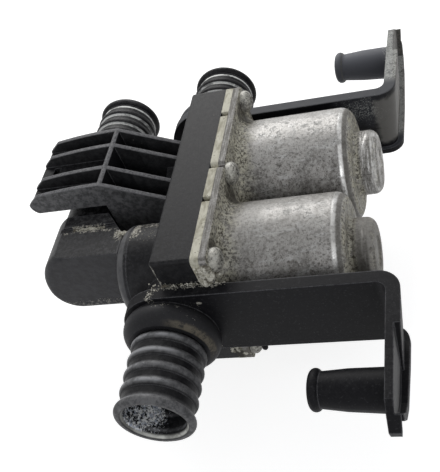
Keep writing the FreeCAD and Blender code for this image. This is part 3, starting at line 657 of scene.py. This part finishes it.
def can_dirt(place):
    along = axes(place)["X"]
    shifted = sums("ADD", along, product(noise(place, 230.0, 5.0, 0.7), 0.0090))
    root = product(ramp(shifted, 0.0265, 0.0205), ramp(along, 0.0155, 0.0158))
    patches = ramp(noise(place, 330.0, 5.0, 0.7), 0.42, 0.58)
    patches_wide = ramp(noise(place, 330.0, 5.0, 0.7), 0.34, 0.54, 0.30, 1.0)
    ring = product(ramp(along, 0.0474, 0.0480), ramp(along, 0.0506, 0.0492), patches_wide)
    tip = product(ramp(along, 0.0525, 0.0545), 0.30)
    return most(root, ring, product(tip, patches))


def around_bands(place):
    # Streaks round the can's axis, quick along it and slow around it
    return noise(stretched(place, 6.0, 0.7, 0.7), 260.0, 4.0, 0.7)


# Painted highlight: thin pale bands at the end's turn and the boss's edge, and pale streaks on the boss
def can_painted_highlight(place):
    along = axes(place)["X"]
    turn_in = product(ramp(along, 0.0451, 0.0456), ramp(along, 0.0466, 0.0462))
    boss_edge = product(ramp(along, 0.0528, 0.0534), ramp(along, 0.0545, 0.0541), 0.7)
    patchy_highlight = ramp(noise(place, 240.0, 4.0, 0.65), 0.38, 0.56, 0.30, 1.0)
    streaks = product(ramp(along, 0.0492, 0.0496), ramp(around_bands(place), 0.54, 0.66), 0.8)
    return most(product(most(turn_in, boss_edge), patchy_highlight), streaks)


# Painted shade: darker at the seam, in bands on the boss, along the flange's top edge, round the screws, on
# the front boss and in the low corner; the front can's side is made darker in patches
def can_shade(place):
    along = axes(place)["X"]
    seam = product(ramp(along, 0.0464, 0.0467), ramp(along, 0.0478, 0.0474), 0.75)
    boss = product(ramp(along, 0.0492, 0.0496), ramp(around_bands(place), 0.52, 0.40))
    face = axes(normal_of(place.id_data))
    on_edge = product(ramp(along, 0.0159, 0.0157), ramp(face["Z"], 0.5, 0.8), 0.85)
    lines = stretched(place, 5.0, 0.35, 1.0)
    ground = ramp(noise(lines, 500.0, 4.0, 0.7), 0.40, 0.60, 0.6, 1.25)
    by_screws = dirty_places(
        place,
        ((0.0162, -0.0050, 0.0150), (0.0006, 0.0016, 0.0030), 0.0030, 0.0020),
        ((0.0162, 0.0265, 0.0165), (0.0006, 0.0014, 0.0030), 0.0030, 0.0020),
        ((0.0162, -0.0275, 0.0185), (0.0006, 0.0012, 0.0026), 0.0024, 0.0018),
    )
    front_can = ramp(axes(place)["Y"], 0.0010, -0.0010)
    front_can_patches = ramp(noise(place, 75.0, 4.0, 0.6), 0.35, 0.60, 0.04, 0.34)
    darker_front_can = product(front_can, ramp(along, 0.0160, 0.0200), front_can_patches)
    front_boss = product(front_can, ramp(along, 0.0490, 0.0494), 0.85)
    low_corner = dirty_place(place, (0.0150, -0.0335, -0.0185), (0.0010, 0.0012, 0.0016), 0.0016, 0.0022)
    shaded = most(seam, product(boss, 0.7), product(on_edge, ground))
    return most(shaded, by_screws, darker_front_can, front_boss, low_corner)


def show(finish, looks):
    # Joins each output of a group with the shader's socket of the same name
    for look in looks:
        join(finish["Base Color" if look.name == "Colour" else look.name], look)


can_steel, finish, place = new_material("can_steel")
dirt, painted_highlight, shade = can_dirt(place), can_painted_highlight(place), can_shade(place)
show(finish, use(oxide, Place=place, Dirt=dirt, Shine=painted_highlight, Shade=shade))
dress(can_steel, "solenoid_can_front", "solenoid_can_rear")

# Coils inside the cans: each a black moulded bobbin, wound full with enamelled
# copper wire. The can and its yoke plate clamp the bobbin, and a tab leads
# the wire down to the socket.
bobbin_plastic, finish, place = new_material("bobbin_plastic")
show(finish, use(skin, Place=place, Dust=0.05, Grain=0.12))
dress(bobbin_plastic, "coil_bobbin_front", "coil_bobbin_rear")

copper_wire, finish, place = new_material("copper_wire")
wave = put(place.id_data, "ShaderNodeTexWave", {"bands_direction": "X"}, Vector=place, Scale=620.0)
fill(wave.inputs, Distortion=0.3)
turns = wave.outputs["Fac"]
wire_colour = layer((0.20, 0.07, 0.025, 1.0), (0.62, 0.27, 0.11, 1.0), turns)
fill(finish, Base_Color=wire_colour, Metallic=0.8, Roughness=0.3, Normal=raised(turns, 0.6, 0.0002))
dress(copper_wire, "coil_winding_front", "coil_winding_rear")


# Guide tubes, cores and plungers: thin stainless tubes, clamped by their
# flanges, with a ground core of magnet steel pressed in each closed end and a
# plunger of the same steel that slides in the rest.
def bare_metal(name, nodes, grain, first, second, roughness):
    made, finish, place = new_material(name)
    lines = noise(place, *grain)
    fill(
        finish,
        Base_Color=layer(first, second, lines),
        Metallic=1.0,
        Roughness=ramp(lines, 0.3, 0.7, *roughness),
    )
    dress(made, *nodes)


bare_metal(
    "tube_steel",
    ("guide_tube_front", "guide_tube_rear"),
    grain=(900.0, 4.0, 0.7),
    first=(0.50, 0.50, 0.50, 1.0),
    second=(0.66, 0.66, 0.65, 1.0),
    roughness=(0.25, 0.40),
)
bare_metal(
    "core_steel",
    ("fixed_core_front", "fixed_core_rear", "plunger_front", "plunger_rear"),
    grain=(700.0, 5.0, 0.7),
    first=(0.34, 0.34, 0.35, 1.0),
    second=(0.55, 0.55, 0.56, 1.0),
    roughness=(0.22, 0.42),
)

# Valve stems with brass discs and rubber washers: each stem is pressed in its
# plunger and its head holds the disc, with the washer that closes the seat.
# Ring seals of the same rubber lie under the tubes' flanges.
stem_steel, finish, place = new_material("stem_steel")
lines = noise(place, 1200.0, 3.0, 0.6)
drawn = layer((0.48, 0.48, 0.48, 1.0), (0.64, 0.64, 0.64, 1.0), lines)
fill(finish, Base_Color=drawn, Metallic=1.0, Roughness=0.3)
dress(stem_steel, "valve_stem_front", "valve_stem_rear")

bare_metal(
    "disc_brass",
    ("valve_disc_front", "valve_disc_rear"),
    grain=(400.0, 5.0, 0.65),
    first=(0.62, 0.43, 0.16, 1.0),
    second=(0.32, 0.20, 0.08, 1.0),
    roughness=(0.25, 0.5),
)
seal_rubber, finish, place = new_material("seal_rubber")
powder = noise(place, 800.0, 4.0, 0.7)
fill(finish, Base_Color=layer((0.018, 0.018, 0.018, 1.0), (0.05, 0.05, 0.05, 1.0), powder), Roughness=0.6)
dress(seal_rubber, "valve_seal_front", "valve_seal_rear", "tube_seal_front", "tube_seal_rear")


# Return springs: steel wire wound with closed end turns, pressed between the
# blind bores of the plunger and the core.
def shape_tree(name, inputs):
    through = [("Geometry", "Geometry")]
    return node_group(name, through + inputs, through, "GeometryNodeTree")


def shaped_piece(name, carrier_mesh, tree, values):
    carrier = add_object(name + "_carrier", carrier_mesh)
    modifier = carrier.modifiers.new("shape", "NODES")
    modifier.node_group = tree
    for item in tree.interface.items_tree:
        if item.in_out == "INPUT" and item.name in values:
            modifier[item.identifier] = values[item.name]
    graph = bpy.context.evaluated_depsgraph_get()
    mesh = bpy.data.meshes.new_from_object(carrier.evaluated_get(graph))
    mesh.name = name
    bpy.data.objects.remove(carrier)
    mesh.shade_smooth()
    return add_object(name, mesh)


winding, given, result = shape_tree(
    "wound_wire",
    [
        ("Start", "Float", 0.0),
        ("Length", "Float", 0.01),
        ("Axis Y", "Float", 0.0),
        ("Turns", "Float", 7.0),
        ("Coil Radius", "Float", 0.0025),
        ("Wire Radius", "Float", 0.00035),
        ("Steps", "Int", 196),
        ("Material", "Material"),
    ],
)
points = put(winding, "GeometryNodeMeshLine", Count=sums("ADD", given["Steps"], 1.0))
count = put(winding, "GeometryNodeInputIndex").outputs[0]
turned = product(sums("DIVIDE", count, given["Steps"]), given["Turns"])
open_turns = sums("SUBTRACT", given["Turns"], 2.0)
free = sums("DIVIDE", sums("SUBTRACT", turned, 1.0), open_turns)
free = sums("MINIMUM", sums("MAXIMUM", free, 0.0), 1.0)
last_turn = sums("SUBTRACT", turned, sums("SUBTRACT", given["Turns"], 1.0))
closed = sums("ADD", sums("MINIMUM", turned, 1.0), sums("MAXIMUM", last_turn, 0.0))
closed = product(closed, product(given["Wire Radius"], 2.0))
open_length = sums("SUBTRACT", given["Length"], product(given["Wire Radius"], 4.0))
along = sums("ADD", given["Start"], sums("ADD", closed, product(free, open_length)))
angle = product(turned, 2.0 * math.pi)
across = product(sums("COSINE", angle), given["Coil Radius"])
upward = product(sums("SINE", angle), given["Coil Radius"])
spot = put(winding, "ShaderNodeCombineXYZ", X=along, Y=sums("ADD", across, given["Axis Y"]), Z=upward)
path = put(winding, "GeometryNodeSetPosition", Geometry=points.outputs[0], Position=spot.outputs[0])
centre_line = put(winding, "GeometryNodeMeshToCurve", Mesh=path.outputs[0])
section = put(winding, "GeometryNodeCurvePrimitiveCircle", Resolution=8, Radius=given["Wire Radius"])
wire = put(
    winding,
    "GeometryNodeCurveToMesh",
    Curve=centre_line.outputs[0],
    Profile_Curve=section.outputs[0],
    Fill_Caps=True,
)
whole = put(winding, "GeometryNodeRealizeInstances", Geometry=wire.outputs[0])
painted = put(winding, "GeometryNodeSetMaterial", Geometry=whole.outputs[0], Material=given["Material"])
join(result["Geometry"], painted.outputs[0])

spring_wire = 0.00035
spring_outer = 0.00285
for name, axis_y in (("front", -solenoid_y), ("rear", solenoid_y)):
    low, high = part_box("return_spring_" + name)
    values = {
        "Start": low[0] + spring_wire,
        "Length": high[0] - low[0] - 2.0 * spring_wire,
        "Axis Y": axis_y,
        "Coil Radius": spring_outer - spring_wire,
        "Wire Radius": spring_wire,
        "Material": stem_steel,
    }
    spring = shaped_piece("spring_coil_" + name, bpy.data.meshes.new("spring_seat"), winding, values)
    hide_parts("return_spring_" + name)
    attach(spring, "valve")
    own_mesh(spring)

# Flange screws: six pan head screws that hold both cans' flanges and their
# yoke plates to the block. Their plating is dull, with white rust and brown
# dirt on it.
screw_steel, finish, place = new_material("screw_steel")
show(finish, use(oxide, Place=place, Metal=(0.46, 0.455, 0.42, 1.0), Dirt=0.34))
dress(screw_steel, "flange_screws")

# Rubber mounts: soft black mouldings with an eye on each nozzle root, an arm
# beside the solenoids and a peg. Their skin is dull, with grey dust on top.
mount_rubber, finish, place = new_material("mount_rubber")
finish["Specular IOR Level"].default_value = 0.10
moulded = use(skin, Place=place, Colour=(0.0045, 0.0045, 0.006, 1.0), Dust=0.08, Grain=0.18)
side = axes(place)
facing = axes(normal_of(place.id_data))
turned_up = facing["Z"]
zones = dirty_places(
    place,
    # Along the front arm's top, on its eye and beside it
    ((0.0080, -0.0353, 0.0138), (0.0100, 0.0003, 0.0004), 0.0011, 0.0012, 0.8),
    ((-0.0020, -0.0370, 0.0134), (0.0008, 0.0020, 0.0010), 0.0022, 0.0024, 0.72),
    ((0.0030, -0.0398, 0.0134), (0.0034, 0.0003, 0.0012), 0.0013, 0.0016, 0.55),
    # On the hub and below the arm
    ((0.0070, -0.0400, 0.0095), (0.0030, 0.0020, 0.0010), 0.0030, 0.0018, 0.35),
    ((0.0120, -0.0362, -0.0090), (0.0030, 0.0010, 0.0012), 0.0026, 0.0016, 0.7),
)
# A small white spot on the front strap's near face: a painted highlight
highlight_spot = dirty_place(
    place, (0.0108, -0.0388, 0.0106), (0.0004, 0.0004, 0.0001), 0.0005, 0.0002, 0.8
)
rear_top = product(
    ramp(turned_up, 0.5, 0.8),
    ramp(side["Y"], 0.0400, 0.0440),
    ramp(side["X"], 0.0540, 0.0562),
    ramp(noise(place, 420.0, 4.0, 0.7), 0.30, 0.55, 0.55, 1.0),
)
toward_cans = ramp(facing["Y"], 0.3, -0.2)
# The rear mount's bend is painted pale grey on the side toward the cans: partly dust, partly painted light
bend_dust_and_light = dirty_place(place, (0.0575, 0.0368, -0.0010), (0.0032, 0.0034, 0.0080), 0.0022, 0.0010)
rear_bend = product(bend_dust_and_light, toward_cans)
inner_dirt = dirty_place(place, (0.0490, 0.0350, 0.0050), (0.0030, 0.0010, 0.0020), 0.0075, 0.0030)
rear_inner = product(inner_dirt, toward_cans)
from_eye = from_line(place, (1.0, 0.0, 1.0))
hub_arc = product(
    ramp(from_eye, 0.0107, 0.0112),
    ramp(from_eye, 0.0128, 0.0121),
    ramp(side["Y"], -0.0428, -0.0436),
    ramp(side["X"], 0.0010, 0.0070),
    ramp(side["Z"], -0.0060, -0.0020),
    ramp(noise(place, 520.0, 6.0, 0.75), 0.40, 0.58, 0.10, 1.0),
)
powder = lime_coat(place, most(product(rear_top, 0.90), product(rear_inner, 0.62)), 2600.0)
lime = most(lime_coat(place, zones), highlight_spot)
# The hub's near part is made paler grey where it does not face down
hub_paler = product(ramp(side["Y"], -0.0384, -0.0390), ramp(from_eye, 0.0150, 0.0140), 0.5)
rear_arm = product(ramp(turned_up, 0.6, 0.9), ramp(side["Y"], 0.0300, 0.0320), 0.75)
hub_paler = product(hub_paler, ramp(turned_up, -0.6, 0.4))
coat = layer(moulded["Colour"], (0.045, 0.045, 0.048, 1.0), hub_paler)
coat = layer(coat, (0.085, 0.088, 0.098, 1.0), rear_arm)
coat = layer(coat, (0.050, 0.052, 0.060, 1.0), product(rear_inner, 0.7))
coat = layer(coat, (0.31, 0.315, 0.305, 1.0), product(rear_top, 0.85))
# The rear mount's outer rim and +X faces are painted pale grey: partly dust, partly painted light on faces
# turned away from the lamps
rear_rim_dust_and_light = product(
    most(ramp(side["X"], 0.0594, 0.0600), ramp(facing["X"], 0.3, 0.7)),
    ramp(side["Y"], 0.0400, 0.0440),
    ramp(noise(place, 900.0, 5.0, 0.75), 0.36, 0.60, 0.25, 0.80),
)
# The rear peg is painted paler grey than the front one: painted light
rear_peg_painted_light = product(ramp(side["Y"], 0.0590, 0.0600), ramp(side["X"], 0.0572, 0.0560), 0.85)
coat = layer(coat, (0.145, 0.150, 0.168, 1.0), rear_peg_painted_light)
coat = layer(coat, (0.17, 0.165, 0.155, 1.0), product(rear_bend, 0.80))
coat = layer(coat, (0.16, 0.155, 0.14, 1.0), rear_rim_dust_and_light)
coat = layer(coat, (0.17, 0.15, 0.115, 1.0), product(hub_arc, 0.75))
coat = layer(coat, (0.60, 0.61, 0.58, 1.0), product(powder, 0.55))
coat = layer(coat, use(lime_grain, Place=place)["Colour"], product(lime, 0.9))
fill(
    finish,
    Base_Color=coat,
    Roughness=sums("ADD", moulded["Roughness"], 0.06),
    Normal=raised(most(lime, powder), 0.4, 0.0003, Normal=moulded["Normal"]),
)
dress(mount_rubber, "rubber_mount_front", "rubber_mount_rear")

# Rear mount's nose: the end of its plate past the peg. Its upper corner is
# cut back at a slant on the real piece, so the rear mount is made again here
# from its own mesh, with the corner cut off and closed.
nose_cut = bmesh.new()
nose_cut.from_mesh(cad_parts["rubber_mount_rear"].data)
bmesh.ops.remove_doubles(nose_cut, verts=nose_cut.verts, dist=1e-6)
cut_at = Vector((0.0, 0.0678, 0.0102))
cut_far = Vector((0.0, 0.0764, 0.0040))
slant = cut_far - cut_at
away_from_part = Vector((0.0, -slant.z, slant.y)).normalized()
everything = nose_cut.verts[:] + nose_cut.edges[:] + nose_cut.faces[:]
bmesh.ops.bisect_plane(
    nose_cut, geom=everything, dist=1e-6, plane_co=cut_at, plane_no=away_from_part, clear_outer=True
)
open_edges = [edge for edge in nose_cut.edges if edge.is_boundary]
bmesh.ops.holes_fill(nose_cut, edges=open_edges, sides=0)
bmesh.ops.recalc_face_normals(nose_cut, faces=nose_cut.faces)
nose_mesh = bpy.data.meshes.new("rear_mount_moulding")
nose_cut.to_mesh(nose_mesh)
nose_cut.free()
nose_mesh.materials.append(mount_rubber)
rear_mount = add_object("rear_mount_moulding", nose_mesh)
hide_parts("rubber_mount_rear")
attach(rear_mount, "valve")

# Socket for the vehicle's plug: a black moulding under the cans, into which
# the bobbins' tabs lead, with three tinned pins.
socket_plastic, finish, place = new_material("socket_plastic")
show(finish, use(skin, Place=place, Dust=0.2, Grain=0.18))
dress(socket_plastic, "socket_housing")
bare_metal(
    "pin_metal",
    ("terminal_pins",),
    grain=(1500.0, 4.0, 0.7),
    first=(0.62, 0.60, 0.55, 1.0),
    second=(0.78, 0.76, 0.70, 1.0),
    roughness=(0.28, 0.45),
)

# Crumbs of lime and zinc rust: loose lumps caked on the flange's near corner,
# on its screw, along the strap, in the elbow's groove and beside the weld.
crumb_lime, finish, place = new_material("crumb_lime")
grit = noise(place, 900.0, 5.0, 0.7)
shade = noise(place, 330.0, 4.0, 0.6)
crumb_colour = layer((0.30, 0.285, 0.23, 1.0), (0.72, 0.70, 0.62, 1.0), ramp(grit, 0.38, 0.58))
crumb_colour = layer(crumb_colour, (0.07, 0.055, 0.035, 1.0), ramp(shade, 0.50, 0.64, 0.0, 0.85))
fill(
    finish,
    Base_Color=crumb_colour,
    Roughness=0.88,
    Specular_IOR_Level=0.2,
    Normal=raised(grit, 0.5, 0.0002),
)

scatter, given, result = shape_tree(
    "crumb_scatter",
    [
        ("Density", "Float", 3.0e6),
        ("Smallest", "Float", 0.0002),
        ("Largest", "Float", 0.0005),
        ("Raggedness", "Float", 0.0002),
        ("Seed", "Int", 1),
        ("Material", "Material"),
    ],
)
full_turn = 6.283
spread = put(
    scatter,
    "GeometryNodeDistributePointsOnFaces",
    Mesh=given["Geometry"],
    Density=given["Density"],
    Seed=given["Seed"],
)
lump = put(scatter, "GeometryNodeMeshIcoSphere", Radius=1.0, Subdivisions=2)
spin = put(scatter, "FunctionNodeRandomValue", {"data_type": "FLOAT_VECTOR"}, Seed=given["Seed"])
fill(spin.inputs, Max=(full_turn, full_turn, full_turn))
girth = put(scatter, "FunctionNodeRandomValue", {"data_type": "FLOAT"}, Seed=given["Seed"])
join(girth.inputs[2], given["Smallest"])
join(girth.inputs[3], given["Largest"])
placed = put(
    scatter,
    "GeometryNodeInstanceOnPoints",
    Points=spread.outputs["Points"],
    Instance=lump.outputs["Mesh"],
    Rotation=spin.outputs["Value"],
    Scale=girth.outputs[1],
)
realized = put(scatter, "GeometryNodeRealizeInstances", Geometry=placed.outputs["Instances"])
spot = put(scatter, "GeometryNodeInputPosition")
rugged = put(scatter, "ShaderNodeTexNoise", Vector=spot.outputs[0], Scale=1100.0)
centred = vectors("SUBTRACT", rugged.outputs["Color"], (0.5, 0.5, 0.5))
pushed = put(scatter, "ShaderNodeVectorMath", {"operation": "SCALE"}, Vector=centred)
fill(pushed.inputs, Scale=given["Raggedness"])
moved = put(scatter, "GeometryNodeSetPosition", Geometry=realized.outputs[0], Offset=pushed.outputs[0])
painted = put(scatter, "GeometryNodeSetMaterial", Geometry=moved.outputs[0], Material=given["Material"])
join(result["Geometry"], painted.outputs[0])


def scatter_crumbs(name, patches, density, smallest, largest, ragged, seed):
    # Each patch is a corner and two sides of a flat patch on a surface
    corners = []
    for corner, first, second in patches:
        corner, first, second = Vector(corner), Vector(first), Vector(second)
        corners += [corner, corner + first, corner + first + second, corner + second]
    faces = [(n, n + 1, n + 2, n + 3) for n in range(0, len(corners), 4)]
    carrier_mesh = bpy.data.meshes.new(name + "_carrier")
    carrier_mesh.from_pydata(corners, [], faces)
    values = {
        "Density": density,
        "Smallest": smallest,
        "Largest": largest,
        "Raggedness": ragged,
        "Seed": seed,
        "Material": crumb_lime,
    }
    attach(shaped_piece(name, carrier_mesh, scatter, values), "valve")


scatter_crumbs(
    "corner_lumps",
    [((0.0122, -0.0345, 0.0134), (0.0034, 0.0, 0.0), (0.0, 0.0002, 0.0066))],
    density=0.50e6, smallest=0.0010, largest=0.0017, ragged=0.0009, seed=3,
)
scatter_crumbs(
    "corner_crumbs_fine",
    [
        ((0.0118, -0.0350, 0.0124), (0.0044, 0.0, 0.0), (0.0, 0.0002, 0.0076)),
        ((0.0106, -0.0350, -0.0180), (0.0026, 0.0, 0.0), (0.0, 0.0002, 0.0050)),
        ((0.0158, -0.0345, 0.0150), (0.0012, 0.0, 0.0), (0.0, 0.0020, 0.0)),
    ],
    density=2.2e6, smallest=0.00016, largest=0.00045, ragged=0.0005, seed=4,
)
scatter_crumbs(
    "low_crumbs",
    [((0.0138, -0.0344, -0.0196), (0.0022, 0.0, 0.0), (0.0, 0.0002, 0.0010))],
    density=3.0e6, smallest=0.0002, largest=0.0006, ragged=0.0005, seed=8,
)
scatter_crumbs(
    "strap_crumbs",
    [
        ((-0.0006, -0.0352, 0.0138), (0.0086, 0.0, 0.0), (0.0, 0.0009, 0.0)),
        ((0.0080, -0.0352, 0.0138), (0.0110, 0.0, 0.0), (0.0, 0.0008, 0.0)),
    ],
    density=6.0e6, smallest=0.00010, largest=0.00028, ragged=0.0003, seed=5,
)
scatter_crumbs(
    "corner_crumbs",
    [
        ((-0.0026, -0.0352, 0.0090), (0.0018, 0.0, 0.0), (0.0, 0.0008, 0.0060)),
        ((-0.0034, -0.0384, 0.0134), (0.0040, 0.0, 0.0), (0.0010, 0.0030, 0.0)),
    ],
    density=2.4e6, smallest=0.00010, largest=0.00026, ragged=0.0003, seed=6,
)
scatter_crumbs(
    "groove_crumbs",
    [((-0.0345, -0.0092, 0.0113), (0.0105, 0.0, 0.0), (0.0, 0.0014, 0.0))],
    density=9.0e6, smallest=0.00010, largest=0.00030, ragged=0.0003, seed=7,
)
scatter_crumbs(
    "weld_crumbs",
    [((-0.0180, -0.0130, 0.0124), (0.0040, 0.0, 0.0), (0.0, 0.0022, -0.0012))],
    density=7.0e6, smallest=0.00016, largest=0.00046, ragged=0.0004, seed=9,
)

# Nub on the front arm: a small stub of the same rubber that hangs below the
# arm's lower edge, where the moulding has torn or was fed.
nub_shape = bmesh.new()
bmesh.ops.create_icosphere(nub_shape, subdivisions=3, radius=1.0)
bmesh.ops.scale(nub_shape, vec=(0.0009, 0.0009, 0.0013), verts=nub_shape.verts)
bmesh.ops.translate(nub_shape, vec=(0.0214, -0.0362, -0.0140), verts=nub_shape.verts)
nub_mesh = bpy.data.meshes.new("arm_nub")
nub_shape.to_mesh(nub_mesh)
nub_shape.free()
nub_mesh.shade_smooth()
nub_mesh.materials.append(mount_rubber)
arm_nub = add_object("arm_nub", nub_mesh)
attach(arm_nub, "valve")
